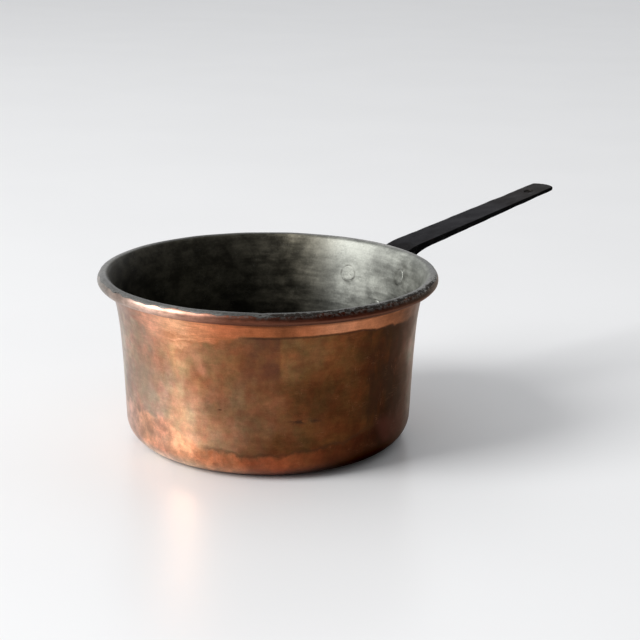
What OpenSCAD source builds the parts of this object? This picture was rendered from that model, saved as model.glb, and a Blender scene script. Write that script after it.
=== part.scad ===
// Copper saucepan: a raised copper pan with a wired rim, a tinned inside and a riveted iron handle.
// Lengths are in millimetres. The origin is the centre of the flat underside, on the pan's axis;
// +X runs out along the handle and +Z is up.

/* [Pan] */
// Outer diameter across the rolled rim
rim_d = 240; // [200:1:280]
// Height from the underside to the top of the rim
pan_h = 121; // [112:1:150]
// Thickness of the copper sheet
sheet_t = 1.6; // [1.2:0.1:2]
// Thickness of the tin that covers the inside and the top of the rim
tin_t = 0.2; // [0.1:0.05:0.4]
// Outer radius of the corner between the wall and the base
corner_r = 17.5; // [10:0.5:24]
// Lean of the straight part of the wall, in degrees from vertical
wall_lean = 2.1; // [0:0.1:5]
// How far the wall flares out below the rim
flare_out = 8; // [6:0.5:10]
// Lean of the wall where it starts to roll round the wire, in degrees
lip_lean = 26.5; // [24:0.5:30]

/* [Rim] */
// Diameter of the iron wire inside the rolled rim
wire_d = 5.2; // [4:0.1:5.6]
// Clearance round the wire
wire_gap = 0.05; // [0.03:0.01:0.1]
// Angle past the outermost point, going under, where the rolled sheet ends
curl_end = 145; // [130:1:148]
// Angle above the outermost point where the tin on top of the rim ends
tin_end = 45; // [20:1:70]

/* [Handle bar] */
// Distance from the pan's axis to the handle's end
handle_reach = 298; // [260:1:360]
// Rise of the handle's top face, in degrees
handle_rise = 9.1; // [7:0.1:12]
// How far the line of the top face passes below the top of the rim, at the rim
handle_drop = 3.9; // [2:0.1:6]
// Width of the bar at the rim
bar_w_rim = 25.6; // [20:0.2:26]
// Width of the bar at its end
bar_w_end = 21.2; // [16:0.2:24]
// Thickness of the bar at the rim
bar_t_rim = 5.6; // [4:0.1:7]
// Thickness of the bar at its end
bar_t_end = 2.8; // [2:0.1:4]
// Diameter of the hanging hole
hole_d = 7.2; // [6:0.2:10]
// Distance from the hanging hole's centre to the handle's end
hole_inset = 21; // [15:1:30]
// How far the rounded end stands past the straight sides
end_bulge = 4; // [2:0.5:10]

/* [Handle neck] */
// Depth below the top of the rim where the neck's upper face leaves the wall
neck_top_depth = 15; // [14:0.5:18]
// Depth below the top of the rim where the neck's underside leaves the wall
neck_low_depth = 35; // [30:1:40]
// Distance past the rim where the neck's upper face joins the straight bar
neck_top_run = 18; // [16:1:24]
// Distance past the rim where the neck's underside joins the straight bar
neck_low_run = 30; // [26:1:36]
// How far the neck spreads on each side at the plate
neck_spread = 8.5; // [2:0.5:9]
// Length over which the spread dies away
spread_len = 8; // [5:0.5:12]

/* [Handle plate] */
// Thickness of the plate that is riveted to the wall
plate_t = 4.5; // [3:0.25:5.5]
// How far the plate reaches past the centre of each rivet
plate_margin = 11; // [10:0.5:13]
// Clearance between the plate and the underside of the rim
rim_gap = 0.8; // [0.5:0.1:1.5]
// Depth below the top of the rim of the middle of the upper pair of rivets
rivet_depth = 21.7; // [21:0.1:26]
// Distance between the upper two rivets
rivet_pair = 55; // [55:1:60]
// Distance of the lower rivet below the line of the upper pair
rivet_fall = 25; // [20:1:32]
// Tilt of the plate about its middle, in degrees
plate_cant = 7.8; // [0:0.1:9]

/* [Rivets] */
// Diameter of the shank
shank_d = 4; // [3:0.25:7]
// Clearance round the shank, on the radius
shank_gap = 0.05; // [0.02:0.01:0.1]
// Diameter of the flat head inside the pan
inner_head_d = 11.6; // [10:0.2:12]
// How far the inner head stands off the copper
inner_head_t = 0.5; // [0.4:0.1:1.5]
// Diameter of the domed head outside
outer_head_d = 13; // [11:0.5:14]
// Height of the domed head
outer_head_t = 4; // [3:0.25:5]

/* [Hidden] */
$fn = 96;

copper = [0.72, 0.45, 0.32];
tin = [0.55, 0.56, 0.53];
iron = [0.16, 0.155, 0.155];

wire_r = wire_d/2;
rim_r = rim_d/2;
bead_r = wire_r + sheet_t + tin_t;
wire_x = rim_r - wire_r - sheet_t;
wire_z = pan_h - bead_r;

// The sheet's outer face touches the wire at the lip, and the wall's curve ends there.
lip_x = wire_x - wire_r*cos(lip_lean);
lip_z = wire_z + wire_r*sin(lip_lean);
flare_len = flare_out/(tan(lip_lean) - tan(wall_lean));

// The corner's arc meets the wall where both have the wall's lean.
corner_z = corner_r*(1 - sin(wall_lean));
corner_x = wall_x(corner_z) - corner_r*cos(wall_lean);

corner_steps = 6;
wall_steps = 12;
curl_step = 15;

// Radius and slope of the wall's outer face at a height
function wall_x(z) =
    lip_x - tan(wall_lean)*(lip_z - z) - flare_out*(1 - exp((z - lip_z)/flare_len));
function wall_slope(z) = tan(wall_lean) + flare_out/flare_len*exp((z - lip_z)/flare_len);

// Points on the three stretches of the section, at a depth measured inwards from the outer face
function corner_point(angle, depth) = [
    corner_x + (corner_r - depth)*cos(angle),
    corner_r + (corner_r - depth)*sin(angle)
];
function wall_point(z, depth) =
    let (lean = atan(wall_slope(z)))
    [wall_x(z) - depth*cos(lean), z + depth*sin(lean)];
function curl_point(angle, depth) = [
    wire_x + (wire_r + depth)*cos(angle),
    wire_z + (wire_r + depth)*sin(angle)
];

// The wall's own stretch between two heights, with its points closer together towards the flare
crowding = 1.6;
function wall_line(low, high, depth) =
    [for (i = [0:wall_steps])
        wall_point(high - (high - low)*pow(1 - i/wall_steps, crowding), depth)];

// The whole section line: from the axis, round the corner, up the wall and round the wire
function layer_line(depth, last_angle) =
    let (start = 180 - lip_lean, turns = ceil((start - last_angle)/curl_step))
    concat(
        [[0, depth]],
        [for (i = [0:corner_steps - 1])
            corner_point(-90 + (90 - wall_lean)*i/corner_steps, depth)],
        wall_line(corner_z, lip_z, depth),
        [for (i = [1:turns]) curl_point(start + (last_angle - start)*i/turns, depth)]
    );

function reversed(list) = [for (i = [len(list) - 1:-1:0]) list[i]];

// A closed skin of revolution between two depths
module skin(from_depth, to_depth, last_angle) {
    outer = layer_line(from_depth, last_angle);
    inner = layer_line(to_depth, last_angle);
    rotate_extrude($fn = 180) polygon(concat(outer, reversed(inner)));
}

// A solid plug bounded by the wall at a depth, between two heights
module wall_plug(low, high, depth) {
    line = wall_line(low, high, depth);
    low_z = line[0][1];
    high_z = line[wall_steps][1];
    rotate_extrude($fn = 180) polygon(concat([[0, low_z]], line, [[0, high_z]]));
}

// Rivet centres, laid out flat across the plate and turned by its cant: [along the wall, height]
pair_z = pan_h - rivet_depth;
function canted(across, up) = [
    across*cos(plate_cant) + up*sin(plate_cant),
    pair_z - across*sin(plate_cant) + up*cos(plate_cant)
];
upper_left = canted(rivet_pair/2, 0);
upper_right = canted(-rivet_pair/2, 0);
lower = canted(0, -rivet_fall);
rivet_places = [upper_left, upper_right, lower];

// Puts +Z along the outward normal of the wall at a rivet's place, with z = 0 on the outer face
module at_wall(place) {
    x = wall_x(place[1]);
    around = place[0]/x*180/PI;
    rotate([0, 0, around])
        translate([x, 0, place[1]])
            rotate([0, 90 + atan(wall_slope(place[1])), 0])
                children();
}

// The holes that the shanks pass through
bore_reach = 12;
module shank_bores(radius) {
    for (place = rivet_places)
        at_wall(place) translate([0, 0, -bore_reach]) cylinder(r = radius, h = 2*bore_reach);
}

module vessel() {
    color(copper) difference() {
        skin(0, sheet_t, -curl_end);
        shank_bores(shank_d/2 + shank_gap);
    }
}

module tin_lining() {
    color(tin) difference() {
        skin(sheet_t, sheet_t + tin_t, tin_end);
        shank_bores(inner_head_d/2 + shank_gap);
    }
}

module rim_wire() {
    color(iron) rotate_extrude($fn = 180) translate([wire_x, wire_z]) circle(r = wire_r - wire_gap);
}

// Heights at the bar's two faces and half its width, at a distance from the axis
function share(x) = (x - rim_r)/(handle_reach - rim_r);
function bar_top(x) = pan_h - handle_drop + tan(handle_rise)*(x - rim_r);
function bar_bottom(x) = bar_top(x) - bar_t_rim - (bar_t_end - bar_t_rim)*share(x);
function bar_half(x) = (bar_w_rim + (bar_w_end - bar_w_rim)*share(x))/2;

// A cubic curve from one end to the other, with an offset from each end to its control point
bezier_steps = 12;
function curve(from, leave, to, arrive) = [
    for (i = [0:bezier_steps])
        let (t = i/bezier_steps, s = 1 - t)
        s*s*s*from + 3*s*s*t*(from + leave) + 3*s*t*t*(to + arrive) + t*t*t*to
];

// Side view of the bar: the neck drops under the rim and thickens into the plate.
root_inset = 14;
root_x = rim_r - root_inset;
neck_top_z = pan_h - neck_top_depth;
neck_low_z = pan_h - neck_low_depth;
face_x = wall_x(neck_top_z) + plate_t/2;
top_leave = [6, 5];
top_pull = 12;
low_pull = 20;
low_arrive = [3, 12];

module bar_side() {
    top_end = rim_r + neck_top_run;
    low_end = rim_r + neck_low_run;
    top = curve(
        [face_x, neck_top_z], top_leave,
        [top_end, bar_top(top_end)], [-top_pull, -top_pull*tan(handle_rise)]
    );
    low = curve(
        [low_end, bar_bottom(low_end)], [-low_pull, -low_pull*tan(handle_rise)],
        [face_x, neck_low_z], low_arrive
    );
    tip = [
        [handle_reach, bar_top(handle_reach)],
        [handle_reach, bar_bottom(handle_reach)]
    ];
    polygon(concat([[root_x, neck_top_z]], top, tip, low, [[root_x, neck_low_z]]));
}

// Plan of the bar: it spreads towards the plate, tapers outwards and ends in a blunt half ellipse.
plan_steps = 16;
plan_end = rim_r + 40;
end_steps = 12;
end_x = handle_reach - end_bulge;

module bar_plan() {
    function half(x) = bar_half(x) + neck_spread*exp(-max(0, x - face_x)/spread_len);
    neck_side = [
        for (i = [0:plan_steps])
            let (x = root_x + (plan_end - root_x)*i/plan_steps)
            [x, half(x)]
    ];
    end_side = [
        for (i = [0:end_steps - 1])
            let (a = 90*(1 - i/end_steps))
            [end_x + end_bulge*cos(a), bar_half(end_x)*sin(a)]
    ];
    side = concat(neck_side, end_side);
    polygon(concat(side, [[handle_reach, 0]], reversed([for (p = side) [p[0], -p[1]]])));
}

module bar() {
    intersection() {
        rotate([90, 0, 0]) linear_extrude(rim_d, center = true) bar_side();
        linear_extrude(2*pan_h) bar_plan();
    }
}

// Outline of a triangle with its corners rounded to a radius
corner_arc_steps = 8;
function edge_angle(a, b) = atan2(b[1] - a[1], b[0] - a[0]) - 90;
function rounded_corner(before, at, after, radius) =
    let (
        from = edge_angle(before, at),
        turn = (edge_angle(at, after) - from + 720) % 360
    )
    [for (i = [0:corner_arc_steps])
        at + radius*[cos(from + turn*i/corner_arc_steps), sin(from + turn*i/corner_arc_steps)]];
function rounded_triangle(a, b, c, radius) = concat(
    rounded_corner(c, a, b, radius),
    rounded_corner(a, b, c, radius),
    rounded_corner(b, c, a, radius)
);

// The plate before it is cut to the wall: its outline pushed straight out, under a curved face
plate_low = pair_z - rivet_fall - 2*plate_margin;
module plate() {
    intersection() {
        rotate([90, 0, 90]) linear_extrude(rim_d)
            polygon(rounded_triangle(upper_left, upper_right, lower, plate_margin));
        wall_plug(plate_low, lip_z, -plate_t);
    }
}

// The hole is square to the bar's middle plane.
module hanging_hole() {
    x = handle_reach - hole_inset;
    thinning = (bar_t_rim - bar_t_end)/(handle_reach - rim_r);
    middle_rise = atan(tan(handle_rise) + thinning/2);
    translate([x, 0, (bar_top(x) + bar_bottom(x))/2])
        rotate([0, -middle_rise, 0])
            cylinder(d = hole_d, h = 4*bar_t_rim, center = true);
}

module handle() {
    color(iron) difference() {
        union() {
            plate();
            bar();
        }
        wall_plug(corner_z, lip_z, 0);
        rotate_extrude($fn = 180) translate([wire_x, wire_z]) circle(r = bead_r + rim_gap);
        shank_bores(shank_d/2 + shank_gap);
        hanging_hole();
    }
}

// A rivet: a shank, a flat head against the copper and a domed head against the plate
dome_r = (outer_head_d*outer_head_d/4 + outer_head_t*outer_head_t)/(2*outer_head_t);
head_root = 1.5;
module rivet(place) {
    color(copper) {
        at_wall(place) translate([0, 0, -sheet_t - inner_head_t/2])
            cylinder(d = shank_d, h = sheet_t + plate_t + (inner_head_t + outer_head_t)/2);
        difference() {
            at_wall(place) translate([0, 0, -sheet_t - inner_head_t])
                cylinder(d = inner_head_d, h = inner_head_t + head_root);
            difference() {
                wall_plug(corner_z, lip_z, -plate_t - head_root);
                wall_plug(corner_z, lip_z, sheet_t);
            }
        }
        difference() {
            at_wall(place) intersection() {
                translate([0, 0, plate_t + outer_head_t - dome_r]) sphere(r = dome_r);
                translate([0, 0, plate_t - head_root])
                    cylinder(d = outer_head_d, h = outer_head_t + 2*head_root);
            }
            wall_plug(corner_z, lip_z, -plate_t);
        }
    }
}

module rivet_upper_left() {
    rivet(upper_left);
}

module rivet_upper_right() {
    rivet(upper_right);
}

module rivet_lower() {
    rivet(lower);
}

vessel();
tin_lining();
rim_wire();
handle();
rivet_upper_left();
rivet_upper_right();
rivet_lower();
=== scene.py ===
"""Copper saucepan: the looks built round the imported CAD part. Metres, +X along the handle, +Z up."""

from functools import cached_property
from math import atan, copysign, cos, hypot, pi, radians, sin, sqrt, tan

import bpy
import numpy as np
from mathutils import Matrix, Vector


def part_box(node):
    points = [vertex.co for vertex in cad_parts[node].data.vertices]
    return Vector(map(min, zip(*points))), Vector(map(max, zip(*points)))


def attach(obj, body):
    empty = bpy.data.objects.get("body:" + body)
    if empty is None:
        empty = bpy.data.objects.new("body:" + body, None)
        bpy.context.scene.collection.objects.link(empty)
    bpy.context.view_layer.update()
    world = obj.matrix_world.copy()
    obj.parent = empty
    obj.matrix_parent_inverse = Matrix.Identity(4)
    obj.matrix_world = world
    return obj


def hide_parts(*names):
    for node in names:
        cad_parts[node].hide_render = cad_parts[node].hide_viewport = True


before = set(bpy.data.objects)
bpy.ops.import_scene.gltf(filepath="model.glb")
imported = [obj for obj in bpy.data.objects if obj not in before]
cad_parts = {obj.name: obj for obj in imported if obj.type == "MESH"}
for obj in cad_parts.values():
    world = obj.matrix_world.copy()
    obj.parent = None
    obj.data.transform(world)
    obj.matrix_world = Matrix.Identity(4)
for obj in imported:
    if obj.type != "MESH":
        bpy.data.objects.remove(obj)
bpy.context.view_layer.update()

# ---- shape, in millimetres
MM = 0.001
SEED = 7

RIM_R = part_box("vessel")[1].y / MM
PAN_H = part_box("tin_lining")[1].z / MM
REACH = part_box("handle")[1].x / MM

SHEET_T = 1.6
TIN_T = 0.2
CORNER_R = 17.5
WALL_LEAN = radians(2.1)
FLARE_OUT = 8.0
LIP_LEAN = radians(26.5)
WIRE_R = 2.6
WIRE_SLACK = 0.1
CURL_END = radians(-145)
TIN_END = radians(45)

BEAD_R = WIRE_R + SHEET_T + TIN_T
WIRE_X = RIM_R - WIRE_R - SHEET_T
WIRE_Z = PAN_H - BEAD_R
LIP_X = WIRE_X - WIRE_R * cos(LIP_LEAN)
LIP_Z = WIRE_Z + WIRE_R * sin(LIP_LEAN)
FLARE_LEN = FLARE_OUT / (tan(LIP_LEAN) - tan(WALL_LEAN))

HANDLE_RISE = tan(radians(9.1))
HANDLE_DROP = 3.9
BAR_W = (25.6, 21.2)
BAR_T = (5.6, 2.8)
END_BULGE = 4.0
HOLE_R = 3.6
HOLE_INSET = 21.0
NECK_DEPTHS = (15.0, 35.0)
NECK_RUNS = (18.0, 30.0)
NECK_SPREAD = 8.5
SPREAD_LEN = 8.0
PLATE_T = 4.5
PLATE_MARGIN = 11.0
RIM_GAP = 0.8
RIVET_DEPTH = 21.7
RIVET_PAIR = 55.0
RIVET_FALL = 25.0
PLATE_CANT = radians(7.8)

SHANK_R = 2.0
INNER_HEAD_R = 5.8
INNER_HEAD_T = 0.5
OUTER_HEAD_R = 6.5
OUTER_HEAD_T = 4.0
HEAD_WOBBLE = 0.012
HEAD_LUMPS = 0.07
HEAD_INSET = 0.06
DOME_INSET = 0.12
RIVET_AROUND = 48


def smooth(value, low, high):
    """0 below low, 1 above high, with a smooth step between."""
    t = np.clip((value - low) / (high - low), 0.0, 1.0)
    return t * t * (3 - 2 * t)


def wall_x(z):
    """Radius of the wall's outer face at a height."""
    flare = FLARE_OUT * (1 - np.exp((z - LIP_Z) / FLARE_LEN))
    return LIP_X - tan(WALL_LEAN) * (LIP_Z - z) - flare


def wall_slope(z):
    return tan(WALL_LEAN) + FLARE_OUT / FLARE_LEN * np.exp((z - LIP_Z) / FLARE_LEN)


CORNER_Z = CORNER_R * (1 - sin(WALL_LEAN))
CORNER_X = float(wall_x(CORNER_Z)) - CORNER_R * cos(WALL_LEAN)

PAIR_Z = PAN_H - RIVET_DEPTH


def canted(across, up):
    """A rivet's distance along the wall and its height."""
    c, s = cos(PLATE_CANT), sin(PLATE_CANT)
    return across * c + up * s, PAIR_Z - across * s + up * c


RIVETS = {
    "rivet_upper_left": canted(RIVET_PAIR / 2, 0),
    "rivet_upper_right": canted(-RIVET_PAIR / 2, 0),
    "rivet_lower": canted(0, -RIVET_FALL),
}


# ---- mesh helpers
SHARP_ANGLE = radians(42)
AROUND = 384
TURN = np.arange(AROUND) * 2 * pi / AROUND


def in_scene(name, data):
    """A new object in the scene, from a mesh, a light or a camera."""
    obj = bpy.data.objects.new(name, data)
    bpy.context.scene.collection.objects.link(obj)
    return obj


def make_object(name, points, faces, materials, body="root"):
    """A smooth shaded mesh object from points in millimetres."""
    mesh = bpy.data.meshes.new(name)
    mesh.from_pydata((np.asarray(points) * MM).tolist(), [], faces)
    mesh.validate()
    for material in materials:
        mesh.materials.append(material)
    mesh.shade_smooth()
    mesh.set_sharp_from_angle(angle=SHARP_ANGLE)
    mesh.update()
    obj = in_scene(name, mesh)
    if body:
        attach(obj, body)
    return obj


def ring(radius, height, angle=TURN):
    """A ring of points, from radii and heights at angles round the axis."""
    return np.stack([radius * np.cos(angle), radius * np.sin(angle), height], axis=1)


def ring_faces(rings, around, close_rings=False):
    """Quads between successive rings of points."""
    faces = []
    last = rings if close_rings else rings - 1
    for i in range(last):
        a = i * around
        b = (i + 1) % rings * around
        for j in range(around):
            k = (j + 1) % around
            faces.append((a + j, a + k, b + k, b + j))
    return faces


def cap(points, faces, first, count, centre, flip):
    """Closes the ring that starts at point number first with a fan to a centre point."""
    points.append(list(centre))
    tip = len(points) - 1
    for j in range(count):
        a, b = first + j, first + (j + 1) % count
        faces.append((b, a, tip) if flip else (a, b, tip))


# ---- how far the pan is from perfect
class Unevenness:
    """Smooth seeded waves that close on themselves round the pan's axis."""

    def __init__(self, seed, turns, rise, count):
        rng = np.random.default_rng(seed)
        self.turns = rng.integers(turns[0], turns[1] + 1, count)
        self.rise = rng.uniform(-rise, rise, count)
        self.phase = rng.uniform(0, 2 * pi, count)
        self.scale = sqrt(2 / count) / 2

    def __call__(self, angle, along):
        total = 0.0
        for turns, rise, phase in zip(self.turns, self.rise, self.phase):
            total = total + np.cos(turns * angle + rise * along + phase)
        return total * self.scale


wall_waves = Unevenness(SEED + 1, (2, 9), 0.05, 12)
planishing = Unevenness(SEED + 2, (20, 56), 0.5, 40)
rim_in_out = Unevenness(SEED + 3, (2, 26), 0.0, 14)
rim_up_down = Unevenness(SEED + 4, (2, 22), 0.0, 14)
tin_edge = Unevenness(SEED + 5, (3, 60), 0.0, 40)

TIN_RAGGED = 0.22
WAVE_DEPTH = 0.22
PLANISH_DEPTH = 0.05
RIM_DEPTH = 0.3
BASE_DISH = 0.5
NICK_ANGLE = radians(-129.7 - 2)
NICK_WIDTH = 2.2
NICK_DEPTH = 0.45
CREASE_FROM = (radians(-14.7), 114.0)
CREASE_TO = (radians(-21.7), 88.0)
CREASE_DEPTH = 0.35
CREASE_WIDTH = 1.5
CREASE_R = 105
RIVET_RING_R = 8.0
RIVET_RING_WIDTH = 2.6
RIVET_RING_DEPTH = 0.16
# The wall's unevenness fades in over these angles beside the handle's plate, and over heights below it
PLATE_SIDES = (0.36, 0.6)
PLATE_LOW = 60
PLATE_FADE = 25
# Heights over which the unevenness of the wall, of the rim and of the dished base comes and goes
WALL_RISE = (4, 30)
WALL_FALL = (104, 116)
RIM_RISE = (70, 114)
DISH_FALL = (4, 8)
DISH_R = 80
NICK_TALL = 3.5


def wrapped(angle):
    """An angle brought into the half turn each way from the handle."""
    return (angle + pi) % (2 * pi) - pi


def quiet_near_handle(angle, height):
    """0 where the plate bears on the wall, 1 away from it."""
    beside = smooth(np.abs(wrapped(angle)), *PLATE_SIDES)
    below = smooth(PLATE_LOW - height, 0, PLATE_FADE)
    return np.maximum(beside, below)


def uneven(radius, height, normal, angle, inner):
    """Moves points of the sheet as one, and returns their new radius and height."""
    on_wall = smooth(height, *WALL_RISE) * (1 - smooth(height, *WALL_FALL))
    push = WAVE_DEPTH * wall_waves(angle, height) + PLANISH_DEPTH * planishing(angle, height)
    push = push * on_wall * quiet_near_handle(angle, height)
    if inner:
        push = push + inner_marks(angle, height)
    radius = radius + push * normal[0]
    height = height + push * normal[1]
    near_rim = smooth(height, *RIM_RISE)
    radius = radius - near_rim * RIM_DEPTH * np.clip(0.5 + 0.5 * rim_in_out(angle, 0), 0, 1)
    height = height - near_rim * RIM_DEPTH * np.clip(0.5 + 0.5 * rim_up_down(angle, 0), 0, 1)
    off_nick = wrapped(angle - NICK_ANGLE) * RIM_R / NICK_WIDTH
    nick = NICK_DEPTH * np.exp(-off_nick * off_nick) * smooth(height, PAN_H - NICK_TALL, PAN_H)
    height = height - nick
    dish = BASE_DISH * (1 - np.clip(radius / DISH_R, 0, 1) ** 2) ** 2 * (1 - smooth(height, *DISH_FALL))
    return radius, height + dish


def inner_marks(angle, height):
    """Dents that show only inside: a ring round each rivet head, and a crease beside the handle."""
    push = 0.0
    for along, z in RIVETS.values():
        x = float(wall_x(z))
        away = np.hypot(wrapped(angle - along / x) * x, height - z)
        off = (away - RIVET_RING_R) / RIVET_RING_WIDTH
        push = push + RIVET_RING_DEPTH * np.exp(-off * off)
    (a0, z0), (a1, z1) = CREASE_FROM, CREASE_TO
    share = np.clip((z0 - height) / (z0 - z1), 0, 1)
    centre = a0 + (a1 - a0) * share**1.4
    off = wrapped(angle - centre) * CREASE_R / CREASE_WIDTH
    reach = smooth(height, z1 - 4, z1 + 4) * (1 - smooth(height, z0 - 4, z0 + 2))
    return push + CREASE_DEPTH * np.exp(-off * off) * reach


# ---- the pan's skins
TIP_BULGE = 0.3
# Steps over the base, corner and wall, and the angle of a step round the wire, where seen or hidden
FINE = (15, 12, 66, radians(11))
COARSE = (4, 5, 22, radians(18))


def section(depth, last_angle, fine):
    """Points of the sheet's section at a depth, from the axis out and up: radius, height, normal."""
    rows = []
    base_steps, corner_steps, wall_steps, curl_step = FINE if fine else COARSE
    for i in range(1, base_steps):
        rows.append((CORNER_X * i / base_steps, depth, 0.0, -1.0))
    for i in range(corner_steps):
        a = -pi / 2 + (pi / 2 - WALL_LEAN) * i / corner_steps
        reach = CORNER_R - depth
        rows.append((CORNER_X + reach * cos(a), CORNER_R + reach * sin(a), cos(a), sin(a)))
    for i in range(wall_steps + 1):
        z = LIP_Z - (LIP_Z - CORNER_Z) * (1 - i / wall_steps) ** 1.15
        lean = atan(float(wall_slope(z)))
        c, s = cos(lean), sin(lean)
        rows.append((float(wall_x(z)) - depth * c, z + depth * s, c, -s))
    start = pi - LIP_LEAN
    steps = max(2, round((start - last_angle) / curl_step))
    for i in range(1, steps + 1):
        a = start + (last_angle - start) * i / steps
        reach = WIRE_R + depth
        rows.append((WIRE_X + reach * cos(a), WIRE_Z + reach * sin(a), -cos(a), -sin(a)))
    return np.array(rows), steps


def turned(rows, inner, curl_steps=0, curl_shift=None):
    """Turns a section into rings of points, uneven as the sheet is."""
    rings = []
    count = len(rows)
    for i, (r, z, nr, nz) in enumerate(rows):
        radius = np.full(AROUND, r)
        height = np.full(AROUND, z)
        from_end = count - 1 - i
        if curl_shift is not None and from_end < curl_steps:
            share = (curl_steps - from_end) / curl_steps
            a = np.arctan2(z - WIRE_Z, r - WIRE_X) + curl_shift(TURN) * share
            reach = hypot(r - WIRE_X, z - WIRE_Z)
            radius = WIRE_X + reach * np.cos(a)
            height = WIRE_Z + reach * np.sin(a)
        rings.append(ring(*uneven(radius, height, (nr, nz), TURN, inner)))
    return rings


def skin(name, materials, from_depth, to_depth, last_angle, fine, curl_shift=None):
    """A closed skin between two depths. fine says which of its two faces are seen."""
    outer, outer_curl = section(from_depth, last_angle, fine[0])
    inner, inner_curl = section(to_depth, last_angle, fine[1])
    outer_rings = turned(outer, from_depth > 0, outer_curl, curl_shift)
    inner_rings = turned(inner, True, inner_curl, curl_shift)
    middle = (outer_rings[-1] + inner_rings[-1]) / 2
    past = (to_depth - from_depth) * TIP_BULGE
    last = last_angle + (curl_shift(TURN) if curl_shift is not None else 0 * TURN)
    tip = middle + ring(past * np.sin(last), -past * np.cos(last))
    rings = outer_rings + [tip] + inner_rings[::-1]
    points = np.concatenate(rings).tolist()
    faces = ring_faces(len(rings), AROUND)
    low = uneven(0.0, from_depth, (0.0, -1.0), 0.0, False)[1]
    high = uneven(0.0, to_depth, (0.0, -1.0), 0.0, False)[1]
    cap(points, faces, 0, AROUND, (0.0, 0.0, float(low)), True)
    cap(points, faces, (len(rings) - 1) * AROUND, AROUND, (0.0, 0.0, float(high)), False)
    return make_object(name, points, faces, materials)


def make_pan(materials):
    """The copper sheet and the tin that lies on it."""
    copper = skin("pan_copper", [materials["copper"]], 0.0, SHEET_T, CURL_END, (True, True))
    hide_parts("vessel")

    def ragged(angle):
        return TIN_RAGGED * tin_edge(angle, 0)

    last_depth = SHEET_T + TIN_T
    tin = skin("pan_tin", [materials["tin"]], SHEET_T, last_depth, TIN_END, (False, True), ragged)
    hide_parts("tin_lining")


def make_rim_wire(materials):
    """The wire follows the uneven rim that is rolled round it."""
    steps = 20
    reach = WIRE_R - WIRE_SLACK
    rings = []
    for i in range(steps):
        a = 2 * pi * i / steps
        radius = np.full(AROUND, WIRE_X + reach * cos(a))
        height = np.full(AROUND, WIRE_Z + reach * sin(a))
        rings.append(ring(*uneven(radius, height, (0.0, 0.0), TURN, False)))
    points = np.concatenate(rings).tolist()
    faces = ring_faces(steps, AROUND, close_rings=True)
    wire = make_object("rim_wire_drawn", points, faces, [materials["wire"]])
    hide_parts("rim_wire")


# ---- the forged handle
FORGE_INSET = 0.08
FORGE_NOISE = 0.08
FORGE_WAVE_COUNT = 18
FORGE_WAVE_LENGTHS = (9, 24)
EDGE_R = 0.65
CUT_EDGE_R = 0.5
HOLE_EDGE_R = 0.7
FILLET = 3.2
WALL_GAP = 0.04
NEAR_HOLE = 12
NET_STEP = (0.9, 0.62, 0.62)
NET_MARGIN = 2.0
# How far the curves of the neck's upper and lower faces run straight on from the plate and from the bar
TOP_PULLS = ((6, 5), -12)
LOW_PULLS = (-20, (3, 12))


def forge_waves():
    """Seeded waves in random directions, for the hammered faces."""
    rng = np.random.default_rng(SEED + 6)
    waves = []
    for _ in range(FORGE_WAVE_COUNT):
        heading = rng.normal(size=3)
        heading /= np.linalg.norm(heading)
        length = rng.uniform(*FORGE_WAVE_LENGTHS)
        waves.append((heading * 2 * pi / length, rng.uniform(0, 2 * pi)))
    return waves


FORGE_WAVES = forge_waves()


def bezier(start, leave, end, arrive, steps=60):
    """Points of a curve that leaves its start and arrives at its end along two given arms."""
    t = np.linspace(0, 1, steps)[:, None]
    s = 1 - t
    start, leave, end, arrive = map(np.array, (start, leave, end, arrive))
    return s**3 * start + 3 * s * s * t * (start + leave) + 3 * s * t * t * (end + arrive) + t**3 * end


def share_of_bar(x):
    return (x - RIM_R) / (REACH - RIM_R)


def bar_top(x):
    return PAN_H - HANDLE_DROP + HANDLE_RISE * (x - RIM_R)


def bar_bottom(x):
    return bar_top(x) - BAR_T[0] - (BAR_T[1] - BAR_T[0]) * share_of_bar(x)


def bar_half(x):
    return (BAR_W[0] + (BAR_W[1] - BAR_W[0]) * share_of_bar(x)) / 2


FACE_X = float(wall_x(PAN_H - NECK_DEPTHS[0])) + PLATE_T / 2


def side_curves():
    """The bar's upper and lower faces seen from the side, as heights at distances from the axis."""
    top_end = RIM_R + NECK_RUNS[0]
    low_end = RIM_R + NECK_RUNS[1]
    top_start = (FACE_X, PAN_H - NECK_DEPTHS[0])
    low_start = (FACE_X, PAN_H - NECK_DEPTHS[1])
    from_plate, from_bar = TOP_PULLS
    top = bezier(top_start, from_plate, (top_end, bar_top(top_end)), (from_bar, from_bar * HANDLE_RISE))
    from_bar, from_plate = LOW_PULLS
    low = bezier((low_end, bar_bottom(low_end)), (from_bar, from_bar * HANDLE_RISE), low_start, from_plate)
    far = REACH + 20
    top = np.vstack([[RIM_R - 30, top[0][1]], top, [far, bar_top(far)]])
    low = np.vstack([[far, bar_bottom(far)], low, [RIM_R - 30, low[-1][1]]])[::-1]
    return top, low


TOP_LINE, LOW_LINE = side_curves()


def height_and_slope(line, x):
    z = np.interp(x, line[:, 0], line[:, 1])
    ahead = np.interp(x + 0.5, line[:, 0], line[:, 1])
    behind = np.interp(x - 0.5, line[:, 0], line[:, 1])
    return z, ahead - behind


def rounded_and(a, b, radius):
    """The overlap of two shapes, with the edge between them rounded."""
    qa = a + radius
    qb = b + radius
    return np.hypot(np.maximum(qa, 0), np.maximum(qb, 0)) + np.minimum(np.maximum(qa, qb), 0) - radius


def smooth_or(a, b, width):
    """Two shapes as one, with a fillet between them."""
    blend = np.maximum(width - np.abs(a - b), 0) / width
    return np.minimum(a, b) - blend * blend * width / 4


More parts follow.
